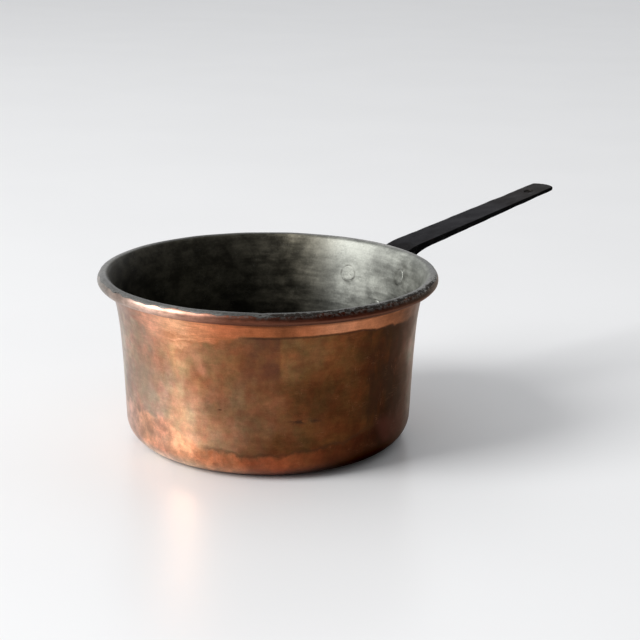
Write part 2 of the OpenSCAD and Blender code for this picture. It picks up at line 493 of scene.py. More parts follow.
def triangle_distance(y, z):
    """Signed distance from the triangle through the three rivets, in the plane square to X."""
    corners = [np.array(p) for p in RIVETS.values()]
    nearest = np.full_like(y, 1e9)
    inside = np.full_like(y, 1e9)
    turn = np.cross(corners[1] - corners[0], corners[2] - corners[1])
    for i in range(3):
        a, b = corners[i], corners[(i + 1) % 3]
        edge = b - a
        t = np.clip(((y - a[0]) * edge[0] + (z - a[1]) * edge[1]) / (edge @ edge), 0, 1)
        away = np.hypot(y - a[0] - t * edge[0], z - a[1] - t * edge[1])
        nearest = np.minimum(nearest, away)
        side = (edge[0] * (z - a[1]) - edge[1] * (y - a[0])) * copysign(1, turn)
        inside = np.minimum(inside, side)
    return np.where(inside > 0, -nearest, nearest)


def handle_field(p):
    """Below zero inside the handle, above zero outside, about in millimetres."""
    x, y, z = p[..., 0], p[..., 1], p[..., 2]
    grown = 0.0
    for wave, phase in FORGE_WAVES:
        grown = grown + np.cos(x * wave[0] + y * wave[1] + z * wave[2] + phase)
    hammer = FORGE_INSET + FORGE_NOISE * grown / sqrt(len(FORGE_WAVES))

    top, top_slope = height_and_slope(TOP_LINE, x)
    low, low_slope = height_and_slope(LOW_LINE, x)
    above = (z - top) / np.sqrt(1 + top_slope**2)
    under = (low - z) / np.sqrt(1 + low_slope**2)
    spread = NECK_SPREAD * np.exp(-np.maximum(0, x - FACE_X) / SPREAD_LEN)
    beside = np.abs(y) - bar_half(x) - spread
    end_x = REACH - END_BULGE
    end_half = float(bar_half(end_x))
    past = np.maximum(x - end_x, 0.001)
    share = np.hypot(past / END_BULGE, y / end_half)
    steep = np.hypot(past / END_BULGE**2, y / end_half**2)
    outline = np.where(x > end_x, share * (share - 1) / steep, beside)
    bar = rounded_and(np.maximum(above, under) + hammer, outline + hammer, EDGE_R)
    bar = np.maximum(bar, x - REACH + FORGE_INSET)

    radius = np.hypot(x, y)
    lean = np.arctan(wall_slope(np.clip(z, 0, LIP_Z)))
    outward = (radius - wall_x(np.clip(z, 0, LIP_Z))) * np.cos(lean)
    rim = triangle_distance(y, z) - PLATE_MARGIN
    plate = rounded_and(rim + hammer, outward - PLATE_T + hammer, EDGE_R * 1.3)

    whole = smooth_or(bar, plate, FILLET)
    whole = np.maximum(whole, WALL_GAP - outward)
    bead = np.hypot(radius - WIRE_X, z - WIRE_Z) - BEAD_R - RIM_GAP
    whole = rounded_and(whole, -bead, CUT_EDGE_R)

    hole_x = REACH - HOLE_INSET
    hole_z = (bar_top(hole_x) + bar_bottom(hole_x)) / 2
    rise = atan(HANDLE_RISE + (BAR_T[0] - BAR_T[1]) / (REACH - RIM_R) / 2)
    along = (x - hole_x) * cos(rise) + (z - hole_z) * sin(rise)
    bore = HOLE_R - np.hypot(along, y)
    bore = np.where(np.abs(x - hole_x) < NEAR_HOLE, bore, -9.0)
    return rounded_and(whole, bore, HOLE_EDGE_R)


def sample(field, low, step, counts):
    """Values of a field on a grid, in slabs to save memory."""
    values = np.empty(counts, dtype=np.float32)
    ys = low[1] + np.arange(counts[1]) * step[1]
    zs = low[2] + np.arange(counts[2]) * step[2]
    for i in range(0, counts[0], 16):
        xs = low[0] + np.arange(i, min(i + 16, counts[0])) * step[0]
        grid = np.stack(np.meshgrid(xs, ys, zs, indexing="ij"), axis=-1)
        values[i : i + 16] = field(grid)
    return values


def fill_diagonals(values):
    """Fills grid squares whose corners alternate in sign, which would give edges with four faces."""
    for axes in ((0, 1), (0, 2), (1, 2), (0, 1), (0, 2), (1, 2)):
        corners = []
        for move in ((0, 0), (0, 1), (1, 1), (1, 0)):
            part = [slice(None)] * 3
            for axis, shift in zip(axes, move):
                part[axis] = slice(shift, values.shape[axis] - 1 + shift)
            corners.append(values[tuple(part)])
        a, b, c, d = (corner < 0 for corner in corners)
        for spot in np.argwhere((a == c) & (b == d) & (a != b)):
            outside = [corner[tuple(spot)] for corner in corners]
            nearest = min((value, i) for i, value in enumerate(outside) if value >= 0)[1]
            corners[nearest][tuple(spot)] = -0.001


def surface_net(values):
    """Quads round the zero level of a grid of values, with one vertex in each cell that it crosses."""
    negative = values < 0
    corners = [(i, j, k) for i in (0, 1) for j in (0, 1) for k in (0, 1)]
    cells = tuple(n - 1 for n in values.shape)

    def at(grid, corner):
        i, j, k = corner
        return grid[i : i + cells[0], j : j + cells[1], k : k + cells[2]]

    count = sum(at(negative, c).astype(np.int8) for c in corners)
    where = np.argwhere((count > 0) & (count < 8))
    number = np.full(cells, -1, dtype=np.int64)
    number[tuple(where.T)] = np.arange(len(where))

    total = np.zeros((len(where), 3))
    hits = np.zeros(len(where))
    for a in corners:
        for b in corners:
            if sum(b) - sum(a) != 1 or sum(abs(p - q) for p, q in zip(a, b)) != 1:
                continue
            va = values[tuple((where + a).T)].astype(float)
            vb = values[tuple((where + b).T)].astype(float)
            crosses = (va < 0) != (vb < 0)
            t = np.where(crosses, va / np.where(crosses, va - vb, 1), 0)
            spot = np.array(a) + (np.array(b) - np.array(a)) * t[:, None]
            total += spot * crosses[:, None]
            hits += crosses
    points = where + total / hits[:, None]

    faces = []
    for axis in range(3):
        u, v = (axis + 1) % 3, (axis + 2) % 3
        here = [slice(0, n) for n in values.shape]
        there = list(here)
        here[axis] = slice(0, values.shape[axis] - 1)
        there[axis] = slice(1, values.shape[axis])
        first, second = negative[tuple(here)], negative[tuple(there)]
        edges = np.argwhere(first != second)
        keep = (edges[:, u] > 0) & (edges[:, v] > 0)
        keep &= (edges[:, u] < cells[u]) & (edges[:, v] < cells[v])
        edges = edges[keep]
        leaving = first[tuple(edges.T)]
        step_u, step_v = np.zeros(3, int), np.zeros(3, int)
        step_u[u], step_v[v] = 1, 1
        round_edge = (edges - step_u - step_v, edges - step_v, edges, edges - step_u)
        quad = np.stack([number[tuple(cell.T)] for cell in round_edge], axis=1)
        quad[~leaving] = quad[~leaving][:, ::-1]
        faces.append(quad)
    return points, np.concatenate(faces)


def settle(field, points, rounds=4):
    """Brings points onto the zero level of a field."""
    h = 0.02
    for _ in range(rounds):
        value = field(points)
        slope = np.empty_like(points)
        for axis in range(3):
            nudge = np.zeros(3)
            nudge[axis] = h
            slope[:, axis] = (field(points + nudge) - field(points - nudge)) / (2 * h)
        size = np.maximum((slope**2).sum(axis=1), 0.2)
        move = slope * (value / size)[:, None]
        length = np.maximum(np.linalg.norm(move, axis=1), 1e-9)
        move *= np.minimum(1, 0.4 / length)[:, None]
        points = points - move
    return points


def make_handle(materials):
    """The bar, neck and plate as one mesh, drawn from the handle's field."""
    low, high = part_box("handle")
    low = np.array(low) / MM - NET_MARGIN
    high = np.array(high) / MM + NET_MARGIN
    step = np.array(NET_STEP)
    counts = tuple(np.ceil((high - low) / step).astype(int) + 1)
    values = sample(handle_field, low, step, counts)
    fill_diagonals(values)
    points, faces = surface_net(values)
    points = settle(handle_field, low + points * step)
    handle = make_object("handle_forged", points, faces.tolist(), [materials["iron"]])
    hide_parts("handle")


# ---- rivets
def rivet_profile():
    """Radius and distance out from the wall's outer face, from the inner head's centre to the dome's."""
    inner_face = -SHEET_T - INNER_HEAD_T
    inner = [(r, inner_face + HEAD_INSET + 0.16 * (r / INNER_HEAD_R) ** 3) for r in (1.2, 2.4, 3.6, 4.6, 5.2)]
    edge = [(5.5, inner_face + 0.26), (5.72, inner_face + 0.48), (5.76, -SHEET_T + 0.35)]
    shank = [(SHANK_R, -SHEET_T + 0.4), (SHANK_R, PLATE_T - 1.2)]
    sphere_r = (OUTER_HEAD_R**2 + OUTER_HEAD_T**2) / (2 * OUTER_HEAD_T)
    centre = PLATE_T + OUTER_HEAD_T - sphere_r
    dome = [(OUTER_HEAD_R - 0.3, PLATE_T - 1.1), (OUTER_HEAD_R - 0.1, PLATE_T + 0.05)]
    for r in (6.1, 5.5, 4.7, 3.8, 2.8, 1.7, 0.8):
        dome.append((r, centre + sqrt(sphere_r**2 - r * r) - DOME_INSET))
    return inner + edge, shank, dome, inner_face + HEAD_INSET, PLATE_T + OUTER_HEAD_T - DOME_INSET


def make_rivet(name, place, seed, materials):
    """One solid: a flat tinned head inside, a shank and a hammered dome outside."""
    inner, shank, dome, inner_tip, outer_tip = rivet_profile()
    along, height = place
    x = float(wall_x(height))
    spin = Matrix.Rotation(along / x, 3, "Z")
    tilt = Matrix.Rotation(pi / 2 + atan(float(wall_slope(height))), 3, "Y")
    turn = np.array(spin @ tilt)
    centre = np.array(spin @ Vector((x, 0, height)))
    lumps = Unevenness(seed, (2, 5), 0.9, 10)
    angle = np.arange(RIVET_AROUND) * 2 * pi / RIVET_AROUND
    local = []
    rows = inner + shank + dome
    for r, out in rows:
        rough = 0.0 if (r, out) in shank else 1.0
        radius = r * (1 + HEAD_WOBBLE * rough * lumps(angle, 1.0))
        lift = HEAD_LUMPS * rough * lumps(angle, r) * (1 if out > 0 else 0.7)
        local.append(ring(radius, np.full(RIVET_AROUND, out) + lift, angle))
    points = [list(centre + turn @ p) for p in np.concatenate(local)]
    faces = ring_faces(len(rows), RIVET_AROUND)
    first = (len(rows) - 1) * RIVET_AROUND
    cap(points, faces, 0, RIVET_AROUND, centre + turn @ np.array([0, 0, inner_tip]), True)
    cap(points, faces, first, RIVET_AROUND, centre + turn @ np.array([0, 0, outer_tip]), False)
    rivet = make_object(name + "_set", points, faces, [materials["tin"], materials["rivet_copper"]])
    tinned_faces = len(inner) * RIVET_AROUND
    for face in rivet.data.polygons:
        in_head = face.index < tinned_faces
        in_cap = first <= face.index < first + RIVET_AROUND
        face.material_index = 0 if in_head or in_cap else 1
    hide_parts(name)


# ---- tones
# Each list runs round the pan by bearing in degrees: 0 faces the main view, -90 is to its left. After the
# bearing comes a linear colour in thousandths: red, green and blue, or one grey.
# These tones hold painted light and shade as well as the copper's own colour: lighter at the left of the main
# view, where the window falls, with a painted highlight near -34 and paler painted reflections at the edges
# near -90 and 85, and darker towards the right, most of all from 25 to 66.
PATINA_AND_PAINTED_LIGHT_TONES = [
    (-230, 240, 120, 70), (-180, 270, 140, 80), (-130, 340, 200, 130), (-95, 430, 320, 250),
    (-78, 440, 360, 300), (-65, 410, 265, 195), (-55, 380, 235, 160), (-45, 420, 235, 145),
    (-34, 500, 270, 145), (-26, 340, 165, 85), (-15, 260, 118, 55), (-5, 190, 80, 34), (5, 145, 60, 24),
    (15, 120, 49, 18), (25, 100, 38, 13), (36, 80, 28, 9), (46, 60, 21, 6.5), (56, 38, 10, 3),
    (66, 80, 36, 21), (77, 310, 260, 220), (92, 380, 300, 240), (110, 310, 200, 135), (130, 240, 120, 70),
]
# The bands' tones carry painted light and shade too: bright at the left, where the window falls, dark at the
# right.
TOP_BAND_AND_PAINTED_LIGHT_TONES = [
    (-230, 400, 180, 100), (-130, 450, 250, 170), (-85, 360, 280, 230), (-65, 360, 230, 180),
    (-56, 420, 200, 130), (-46, 800, 380, 240), (-33, 840, 430, 240), (-25, 680, 270, 130),
    (-15, 540, 165, 70), (-3, 370, 115, 45), (5, 230, 75, 30), (12, 400, 130, 55), (25, 550, 220, 110),
    (38, 500, 185, 85), (50, 320, 115, 50), (62, 165, 66, 34), (75, 110, 70, 55), (95, 320, 200, 140),
    (130, 400, 180, 100),
]
# Painted light and shade here too: bright at the left, nearly black at the right.
LOW_BAND_AND_PAINTED_LIGHT_TONES = [
    (-230, 360, 160, 100), (-130, 450, 250, 170), (-85, 520, 360, 300), (-65, 580, 330, 240),
    (-55, 740, 370, 220), (-45, 700, 330, 210), (-33, 740, 350, 190), (-25, 520, 180, 80),
    (-15, 470, 145, 60), (-5, 300, 80, 35), (5, 360, 90, 35), (14, 210, 55, 20), (25, 85, 22, 8),
    (38, 48, 11, 4), (50, 26, 5, 2), (62, 42, 11, 5), (78, 100, 62, 46), (100, 300, 180, 120),
    (130, 360, 160, 100),
]
# The roll's tones hold a painted highlight at the front left and painted shade at the right.
BEAD_AND_PAINTED_LIGHT_TONES = [
    (-230, 300, 240, 200), (-180, 120, 92, 75), (-140, 70, 56, 45), (-110, 180, 165, 155),
    (-85, 430, 400, 370), (-70, 270, 235, 205), (-56, 320, 240, 200), (-43, 620, 420, 340),
    (-33, 520, 310, 230), (-25, 330, 165, 115), (-10, 170, 60, 35), (5, 80, 27, 16), (20, 55, 13, 7),
    (35, 46, 13, 7), (50, 38, 14, 8), (65, 14, 10, 8), (80, 125, 112, 100), (100, 200, 170, 150),
    (130, 300, 240, 200),
]
# Tin by bearing, as greys: inside the pan, and on the lip. Both hold painted shade, nearly black inside at
# the left of the main view, and painted light towards the handle.
TIN_AND_PAINTED_LIGHT_TONES = [
    (-230, 420), (-221, 420), (-212, 380), (-200, 210), (-186, 80), (-165, 44), (-115, 34), (-90, 50),
    (-60, 100), (-20, 140), (40, 170), (78, 270), (95, 320), (112, 380), (130, 420),
]
LIP_AND_PAINTED_LIGHT_TONES = [
    (-230, 400), (-212, 340), (-180, 130), (-140, 140), (-110, 260), (-86, 300), (-70, 210), (-55, 170),
    (-40, 180), (-25, 210), (-10, 130), (8, 120), (22, 150), (36, 200), (52, 200), (66, 250), (82, 220),
    (104, 220), (130, 400),
]
# Edges of the rubbed bands by bearing: heights, and how ragged they are from 0 to 1
TOP_EDGE = [
    (-230, 97), (-80, 96), (-58, 98), (-45, 95), (-33, 91), (-24, 94.5), (-15, 98.5), (-7, 102.4),
    (34, 102.6), (44, 100), (58, 99), (78, 97), (130, 97),
]
TOP_RAGGED = [
    (-230, 0.8), (-100, 0.8), (-26, 0.8), (-12, 0.35), (-4, 0.06), (34, 0.06), (52, 0.35), (130, 0.8),
]
LOW_EDGE = [
    (-230, 24), (-95, 28), (-62, 36), (-50, 33), (-41, 35), (-33, 26), (-25, 20.5), (-10, 17.5),
    (3, 18.5), (14, 20), (28, 24), (42, 28), (60, 27), (85, 24), (130, 24),
]
LOW_RAGGED = [
    (-230, 0.5), (-100, 0.55), (-40, 0.6), (-26, 0.35), (10, 0.3), (40, 0.6), (130, 0.6),
]
# A dark copper for pits, marks and the lines at the bands' edges, and also for the painted shadow in the tuck
# under the roll.
COPPER_DARK_AND_SHADOW = (0.045, 0.02, 0.012)
COPPER_GLINT = (0.8, 0.36, 0.19)
BASE_COPPER = (0.4, 0.185, 0.11)
BASE_SOOT = (0.085, 0.052, 0.042)


# ---- material helpers
VIEW_BEARING = 50.3


class Value:
    """What a node gives. Each sign of arithmetic on it adds one node."""

    def __init__(self, shader, socket):
        self.shader = shader
        self.socket = socket

    def __add__(self, other):
        return self.shader.math("ADD", self, other)

    def __radd__(self, other):
        return self.shader.math("ADD", other, self)

    def __sub__(self, other):
        return self.shader.math("SUBTRACT", self, other)

    def __rsub__(self, other):
        return self.shader.math("SUBTRACT", other, self)

    def __mul__(self, other):
        return self.shader.math("MULTIPLY", self, other)


class Nodes:
    """A tree of shader nodes that are made by short calls."""

    def __init__(self, tree):
        self.tree = tree

    def put(self, socket, value):
        """Links a value to a socket, or writes a constant on it."""
        if isinstance(value, Value):
            self.tree.links.new(value.socket, socket)
        elif socket.type == "RGBA":
            socket.default_value = (*value, 1.0)
        else:
            socket.default_value = value

    def node(self, kind, given, output=0, **settings):
        """One output of a new node, with its inputs given by number or name."""
        node = self.tree.nodes.new("ShaderNode" + kind)
        for name, value in settings.items():
            setattr(node, name, value)
        for name, value in given.items():
            self.put(node.inputs[name], value)
        return Value(self, node.outputs[output])

    def math(self, operation, a, b=0.0):
        return self.node("Math", {0: a, 1: b}, operation=operation)

    def most(self, a, b):
        return self.math("MAXIMUM", a, b)

    def scaled(self, vector, scale):
        return self.node("VectorMath", {0: vector, 1: scale}, operation="MULTIPLY")

    def moved(self, vector, offset):
        return self.node("VectorMath", {0: vector, 1: offset}, operation="ADD")

    def vector(self, x, y, z):
        return self.node("CombineXYZ", {0: x, 1: y, 2: z})

    def step(self, value, low, high, start=0.0, end=1.0):
        """Smooth step of a value between two limits, mapped to start..end."""
        given = dict(enumerate((value, low, high, start, end)))
        return self.node("MapRange", given, interpolation_type="SMOOTHSTEP")


class Shader(Nodes):
    """A Principled material. Lengths inside it are in millimetres."""

    def __init__(self, name):
        self.material = bpy.data.materials.new(name)
        self.material.use_nodes = True
        super().__init__(self.material.node_tree)
        self.bsdf = self.tree.nodes["Principled BSDF"]
        self.mm = self.scaled(self.node("TexCoord", {}, "Object"), (1 / MM, 1 / MM, 1 / MM))
        parts = self.tree.nodes.new("ShaderNodeSeparateXYZ")
        self.put(parts.inputs[0], self.mm)
        self.x, self.y, self.z = (Value(self, part) for part in parts.outputs)

    def set(self, name, value):
        self.put(self.bsdf.inputs[name], value)

    @cached_property
    def radius(self):
        """Distance from the pan's axis."""
        return self.math("SQRT", self.x * self.x + self.y * self.y)

    @cached_property
    def bearing(self):
        """Degrees round the axis, 0 at the side that faces the main view and rising to its right."""
        around = self.math("ARCTAN2", self.y * -1, self.x * -1)
        return around * (180 / pi) - VIEW_BEARING

    @cached_property
    def bead_angle(self):
        """Degrees round the rolled rim's section: 0 at its outermost line, 90 on top."""
        return self.math("ARCTAN2", self.z - WIRE_Z, self.radius - WIRE_X) * (180 / pi)

    def bump_shape(self, value, centre, width):
        """1 where a value is at the centre, falling to 0 a width away."""
        return self.step(self.math("ABSOLUTE", value - centre), 0, width, 1, 0)

    def span(self, value, rise_from, rise_to, fall_from, fall_to):
        """1 between the rise and the fall of a value, 0 outside them."""
        return self.step(value, rise_from, rise_to) * self.step(value, fall_from, fall_to, 1, 0)

    def contrast(self, value, spread, low, high):
        """Noise about 0.5 drawn out to run from low to high."""
        return self.step(value, 0.5 - spread, 0.5 + spread, low, high)

    def near(self, place, low, high):
        """1 closer than low to a point, 0 beyond high."""
        away = self.node("VectorMath", {0: self.mm, 1: place}, "Value", operation="DISTANCE")
        return self.step(away, high, low)

    def ramp(self, value, stops):
        """A tone that changes smoothly with a value, from stops of (value, colour)."""
        low, high = stops[0][0], stops[-1][0]
        node = self.tree.nodes.new("ShaderNodeValToRGB")
        self.put(node.inputs[0], (value - low) * (1 / (high - low)))
        tones = node.color_ramp
        tones.interpolation = "EASE"
        tones.elements[0].color = (*stops[0][1], 1.0)
        tones.elements[-1].color = (*stops[-1][1], 1.0)
        for place, colour in stops[1:-1]:
            tones.elements.new((place - low) / (high - low)).color = (*colour, 1.0)
        return Value(self, node.outputs[0])

    def tones(self, value, stops, tint=(1, 1, 1)):
        """A tone from stops of (value, thousandths of red, green and blue or of grey), times a tint."""
        colours = []
        for place, *parts in stops:
            if len(parts) == 1:
                parts = parts * 3
            colours.append((place, [part / 1000 * share for part, share in zip(parts, tint)]))
        return self.ramp(value, colours)

    def profile(self, value, stops, scale):
        """A number that changes smoothly with a value, from stops of (value, number below scale)."""
        tones = [(place, (number / scale,) * 3) for place, number in stops]
        return self.ramp(value, tones) * scale

    def strayed(self, bearing, cloud, reach):
        """The bearing shifted here and there by up to reach, but not where it starts again."""
        inside = self.span(bearing, -230, -206, 106, 130)
        return bearing + (cloud - 0.5) * reach * inside

    def texture(self, kind, size, source, stretch, offset, given, output):
        """A procedural texture with features about size millimetres across."""
        if stretch != (1, 1, 1):
            source = self.scaled(source, stretch)
        if offset:
            source = self.moved(source, (offset, offset * 0.7, offset * 1.3))
        return self.node(kind, {"Vector": source, "Scale": 1 / size, **given}, output)

    def noise(self, size, detail=3.0, rough=0.55, stretch=(1, 1, 1), offset=0.0, vector=None):
        """Noise from about 0 to 1."""
        source = self.mm if vector is None else vector
        given = {"Detail": detail, "Roughness": rough}
        return self.texture("TexNoise", size, source, stretch, offset, given, "Fac")

    def cells(self, size, offset):
        """Distance from scattered points, in parts of size."""
        return self.texture("TexVoronoi", size, self.mm, (1, 1, 1), offset, {}, "Distance")

    def scratches(self, size, length, offset, keep):
        """Thin random lines: a stretched noise crossing its middle value."""
        fibre = self.noise(size, 1.5, 0.5, stretch=length, offset=offset)
        some = self.step(self.noise(size * 9, 2, offset=offset + 31), keep - 0.06, keep + 0.06)
        return self.bump_shape(fibre, 0.5, 0.018) * some

    def mix(self, share, a, b):
        """Colour a where share is 0, and b where it is 1."""
        return self.node("Mix", {0: share, 6: a, 7: b}, 2, data_type="RGBA")

    def shade(self, colour, factor):
        """A colour multiplied by a number."""
        return self.node("VectorMath", {0: colour, "Scale": factor}, operation="SCALE")

    def toned(self, colour, noise, spread, low, high):
        """A colour made darker and lighter by noise."""
        return self.shade(colour, self.contrast(noise, spread, low, high))

    def tinted(self, colour, share, tint, plain=(1, 1, 1)):
        """A colour multiplied by plain where share is 0, and by tint where it is 1."""
        return self.scaled(colour, self.mix(share, plain, tint))

    def bump(self, height, depth, under=None):
        """Adds relief: height 0..1 stands for depth millimetres."""
        given = {"Strength": 1.0, "Distance": depth * MM, "Height": height}
        if under is not None:
            given["Normal"] = under
        return self.node("Bump", given)


# ---- copper
def add_copper_fields(s):
    """Noises, and shares of the surface, that several functions below use."""
    s.blotch = s.noise(17, 4, 0.55, stretch=(1, 1, 0.8), offset=8)
    s.mottle = s.noise(6, 5, 0.62, offset=12)
    s.speckle = s.noise(1.9, 4, 0.65, offset=77)
    s.across = s.vector(s.x * 0.07, s.y * 0.07, s.z + s.radius)
    s.polish = s.noise(0.8, 4, 0.62, vector=s.across, offset=9)
    s.smear = s.noise(3.2, 5, 0.62, vector=s.scaled(s.across, (4, 4, 1)), offset=3)
    s.uneven_edge = (s.blotch - 0.5) * 24 + (s.mottle - 0.5) * 18
    # Where the wall turns under at the right of the main view: it gets painted shade.
    s.turned_under = s.step(s.z, 17, 2) * s.span(s.bearing, 14, 46, 84, 110)
    s.rolled = s.step(s.z, 110.6, 112.8) * s.step(s.radius, 110.8, 113)


def patina(s):
    """Soft shapes of brown, olive and red brown, over tones by bearing that hold painted light and shade:
    lighter at the left, darker at the right.
    """
    wandering = s.strayed(s.bearing, s.noise(38, 3, 0.5, offset=40), 34)
    colour = s.tones(wandering, PATINA_AND_PAINTED_LIGHT_TONES)
    hue = s.contrast(s.blotch, 0.16, 0, 1)
    colour = s.tinted(colour, hue, (0.95, 1.04, 1.07), (1.06, 0.93, 0.88))
    rosy = s.contrast(s.noise(9, 4, 0.6, offset=57), 0.14, 0, 1)
    colour = s.tinted(colour, rosy, (0.96, 1.03, 0.97), (1.05, 0.94, 0.95))
    colour = s.toned(colour, s.noise(25, 4, 0.55, offset=52), 0.2, 0.76, 1.22)
    colour = s.toned(colour, s.mottle, 0.2, 0.86, 1.14)
    colour = s.toned(colour, s.smear, 0.25, 0.9, 1.1)
    # Painted reflection: paler, whiter copper low at the left, as from the bright floor on the window's side.
    paler_reflection = s.span(wandering, -66, -40, -2, 6) * s.step(s.z, 76, 52)
    colour = s.tinted(colour, paler_reflection, (1.18, 1.36, 1.58))
    level = s.z + (s.blotch - 0.5) * 8
    olive = s.span(s.bearing, 3.4, 5.4, 18, 40) * s.span(level, 65, 80, 101, 104)
    return s.tinted(colour, olive * 0.85, (1.5, 1.66, 1.75))


def rub_below_rim(s, colour):
    """A bright band. Its lower edge is high and crisp at the front, low and ragged at the left."""
    ragged = s.profile(s.bearing, TOP_RAGGED, 1)
    above = s.z - s.profile(s.bearing, TOP_EDGE, 128) - s.uneven_edge * ragged
    softness = 0.5 + ragged * 2.6
    share = s.step(s.math("DIVIDE", above, softness), -1, 1)
    share = share * (1 - ragged * s.contrast(s.smear, 0.14, 0.6, 0))
    # The band's tones by bearing hold painted light and shade: bright at the left, dark at the right.
    tone = s.toned(s.tones(s.bearing, TOP_BAND_AND_PAINTED_LIGHT_TONES), s.mottle, 0.22, 0.82, 1.14)
    tone = s.toned(tone, s.polish, 0.24, 0.86, 1.12)
    streaks = s.noise(7.5, 5, 0.65, vector=s.scaled(s.across, (3, 3, 1)), offset=49)
    smeared = s.contrast(streaks, 0.1, 1, 0) * s.span(s.bearing, -46, -34, -8, 2)
    smeared = smeared * s.span(s.z, 88, 93, 99, 104)
    tone = s.mix(smeared * 0.85, tone, (0.3, 0.105, 0.04))
    line = s.bump_shape(above, -0.9, 1.3) * s.span(s.bearing, -12, -4, 58, 72)
    colour = s.mix(share, colour, tone)
    return s.mix(line * 0.6, colour, COPPER_DARK_AND_SHADOW), share


def rub_round_base(s, colour):
    """A band with a softer edge that rises and falls, in flames at the left."""
    below = s.profile(s.bearing, LOW_EDGE, 64) + s.uneven_edge * s.profile(s.bearing, LOW_RAGGED, 1) - s.z
    share = s.step(below, -2.4, 2.4)
    share = share * s.contrast(s.noise(8.5, 4, 0.6, offset=64), 0.22, 0.55, 1)
    # The band's tones by bearing hold painted light and shade: bright at the left, dark at the right.
    tone = s.toned(s.tones(s.bearing, LOW_BAND_AND_PAINTED_LIGHT_TONES), s.mottle, 0.24, 0.82, 1.16)
    tone = s.toned(tone, s.speckle, 0.24, 0.92, 1.08)
    patchy = s.contrast(s.noise(10, 5, 0.6, offset=71), 0.16, 0.7, 1.3)
    tone = s.shade(tone, 1 + (patchy - 1) * s.step(s.bearing, 10, -22))
    # Painted reflection: paler, greyer copper at the foot on the left, as from the bright floor.
    floor_reflection_foot = s.span(s.bearing, -80, -52, -14, 0) * s.step(s.z, 14, 4)
    tone = s.tinted(tone, floor_reflection_foot, (1.12, 1.7, 2.1))
    # Painted shade where the wall turns under at the right.
    tone = s.shade(tone, 1 - s.turned_under * 0.84)
    line = s.bump_shape(below, -1.2, 2.4) * s.span(s.bearing, -30, -22, 30, 60)
    colour = s.mix(share, colour, tone)
    return s.mix(line * 0.4, colour, COPPER_DARK_AND_SHADOW), share


def rosy_patch(s, colour):
    """A rosier patch low at the right."""
    share = s.span(s.bearing + s.z * 0.3, 52, 58, 72, 80) * s.span(s.z, 9, 18, 26, 40)
    share = share * s.contrast(s.blotch, 0.18, 0.3, 1)
    return s.mix(share * 0.6, colour, (0.125, 0.036, 0.024))


def rolled_rim(s, colour):
    """The roll, with a painted highlight at the front left and painted shade that darkens it to the right, a
    painted shadow in the tuck under it, red brown painted shade below it at the right, and specks of tin left
    at the front and right.
    """
    bearing = s.bearing
    # Painted shadow in the tuck under the roll, darker to the right.
    tuck_shadow = s.step(s.z, 108.4, 110.2) * s.span(bearing, -22, -4, 90, 124)
    colour = s.mix(tuck_shadow * s.step(bearing, 20, 50, 0.58, 0.86), colour, COPPER_DARK_AND_SHADOW)
    tone = s.toned(s.tones(bearing, BEAD_AND_PAINTED_LIGHT_TONES), s.smear, 0.22, 0.72, 1.25)
    colour = s.mix(s.rolled, colour, s.toned(tone, s.mottle, 0.22, 0.85, 1.15))
    # Painted shade under the roll at the right: red brown.
    under = s.rolled * (s.step(s.bead_angle, -8, -26) * s.step(bearing, -30, 0))
    colour = s.mix(under * s.span(bearing, -200, -170, 60, 90), colour, (0.13, 0.05, 0.03))
    specks = s.contrast(s.noise(2.3, 5, 0.75, offset=36), 0.07, 0, 1) * s.rolled
    specks = specks * (s.step(s.bead_angle, 0, 34) * s.span(bearing, -40, 4, 84, 106))
    return s.mix(specks * 0.7, colour, (0.15, 0.142, 0.13))


def stained_base(s, colour):
    """The underside is heat stained, with a rubbed ring where it stands."""
    share = s.step(s.z, 1.2, 0.3)
    soot = s.step(s.noise(34, 5, 0.62, offset=81), 0.42, 0.62)
    tone = s.mix(soot, BASE_COPPER, BASE_SOOT)
    tone = s.mix(s.bump_shape(s.radius, 78, 7) * 0.6, tone, COPPER_GLINT)
    return s.mix(share, colour, s.toned(tone, s.mottle, 0.2, 0.75, 1.2)), share


def copper_material():
    """Old copper: brown patina, rubbed bright below the rim and round the base, with painted light and shade:
    lighter at the left of the main view, darker at the right and under the roll.
    """
    s = Shader("copper_patina")
    add_copper_fields(s)
    colour = patina(s)
    for share, tone in copper_marks(s):
        colour = s.mix(share, colour, tone)
    colour, top_share = rub_below_rim(s, colour)
    colour, low_share = rub_round_base(s, colour)
    colour = rolled_rim(s, rosy_patch(s, colour))
    colour, underside = stained_base(s, colour)

    grain = s.noise(0.8, 3, 0.6, offset=5)
    pits = s.step(s.cells(4.6, 7), 0, 0.11, 1, 0) * s.step(s.noise(17, 2, offset=15), 0.5, 0.62)
    colour = s.mix(pits * 0.55, colour, COPPER_DARK_AND_SHADOW)
    scratch = s.most(s.scratches(1.3, (1, 1, 0.07), 21, 0.66), s.scratches(1.1, (0.08, 0.08, 1), 44, 0.6))
    colour = s.mix(scratch * 0.12, colour, COPPER_GLINT)
    s.set("Base Color", s.toned(colour, grain, 0.25, 0.9, 1.1))
    s.set("Metallic", 1)
    # Painted shade in the reflections: dimmer at the right, and dimmer still where the wall turns under.
    tint = s.mix(s.span(s.bearing, 10, 40, 92, 122), (1, 1, 1), (0.86, 0.74, 0.66))
    s.set("Specular Tint", s.mix(s.turned_under, tint, (0.3, 0.15, 0.11)))

    rubbed = s.most(s.most(top_share, low_share), s.rolled)
    rough = rubbed * -0.03 + s.contrast(s.blotch, 0.2, 0.33, 0.4)
    rough = rough + s.contrast(s.polish, 0.25, -0.03, 0.03) + s.rolled * 0.07
    s.set("Roughness", rough + s.most(underside, pits) * 0.14)

    normal = s.bump(s.noise(13, 2, 0.5, offset=90), 0.07)
    normal = s.bump(s.polish * (0.35 + rubbed * 0.65), 0.004, normal)
    normal = s.bump(grain + s.speckle * 0.8, 0.005, normal)
    s.set("Normal", s.bump((pits * 1.6 + scratch) * -1, 0.018, normal))
    return s.material


